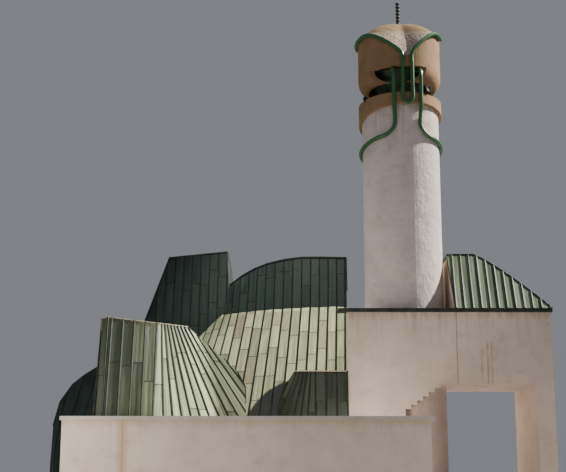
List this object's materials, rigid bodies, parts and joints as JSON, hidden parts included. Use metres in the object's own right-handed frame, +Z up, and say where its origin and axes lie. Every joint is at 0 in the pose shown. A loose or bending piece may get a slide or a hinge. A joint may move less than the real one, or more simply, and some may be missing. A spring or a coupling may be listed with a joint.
{
  "type": "mosque building",
  "caption": "Mosque with a quarter-cone copper hall and faceted roof lanterns, a plastered gate block over a passage, a round minaret with a hood, and a courtyard wall.",
  "frame": {"origin": "middle of the building's plan box, on the ground", "axes": "+X runs to the right along the gate's front, +Y runs back from the front, +Z is up along the minaret"},
  "size_m": [20.01, 13.96, 20.57],
  "materials": {
    "facade_plaster": "off-white lime plaster, mottled and stained",
    "shaft_plaster": "rough trowelled off-white plaster",
    "hall_plaster": "off-white plaster",
    "yard_plaster": "smooth off-white plaster",
    "tan_render": "tan rough render",
    "hall_copper": "standing-seam copper with green patina and brown streaks",
    "lantern_copper": "standing-seam copper with green patina and brown streaks",
    "gate_copper": "standing-seam copper with green patina",
    "flashing": "dark green-black sheet metal",
    "green_tube": "green painted steel tube",
    "dark_green_metal": "dark green sheet metal with radial ribs",
    "finial_metal": "dark weathered metal beads"
  },
  "bodies": {
    "root": {"facade_left_wall": "facade_plaster", "facade_right_wall": "facade_plaster", "gate_right_wall": "facade_plaster", "gate_left_wall": "facade_plaster", "gate_back_wall_left": "facade_plaster", "gate_back_wall_right": "facade_plaster", "passage_ceiling_slab": "facade_plaster", "terrace_slab_left": "facade_plaster", "terrace_slab_right": "facade_plaster", "front_coping": "flashing", "back_coping": "flashing", "left_coping": "flashing", "right_coping": "flashing", "gate_roof": "gate_copper", "gate_gable_wall": "facade_plaster", "gate_roof_back_wall": "facade_plaster", "minaret_shaft": "shaft_plaster", "balcony_floor": "tan_render", "balcony_ring": "tan_render", "balcony_stem": "tan_render", "hood_funnel": "dark_green_metal", "hood_drum": "tan_render", "hood_roof": "tan_render", "hood_ceiling": "dark_green_metal", "hood_bowl": "tan_render", "finial": "finial_metal", "hood_loop_tube": "green_tube", "collar_tube_left": "green_tube", "collar_tube_right": "green_tube", "hall_curved_wall_1": "hall_plaster", "hall_curved_wall_2": "hall_plaster", "hall_curved_wall_3": "hall_plaster", "hall_side_wall": "hall_plaster", "hall_back_wall": "hall_plaster", "hall_roof_skirt": "hall_copper", "hall_roof_crown": "hall_copper", "front_lantern": "lantern_copper", "tall_lantern": "lantern_copper", "broad_lantern": "lantern_copper", "small_lantern": "lantern_copper", "side_lantern": "lantern_copper", "yard_front_wall": "yard_plaster", "yard_front_coping": "yard_plaster", "yard_left_wall": "yard_plaster", "yard_right_wall": "yard_plaster"}
  },
  "joints": []
}
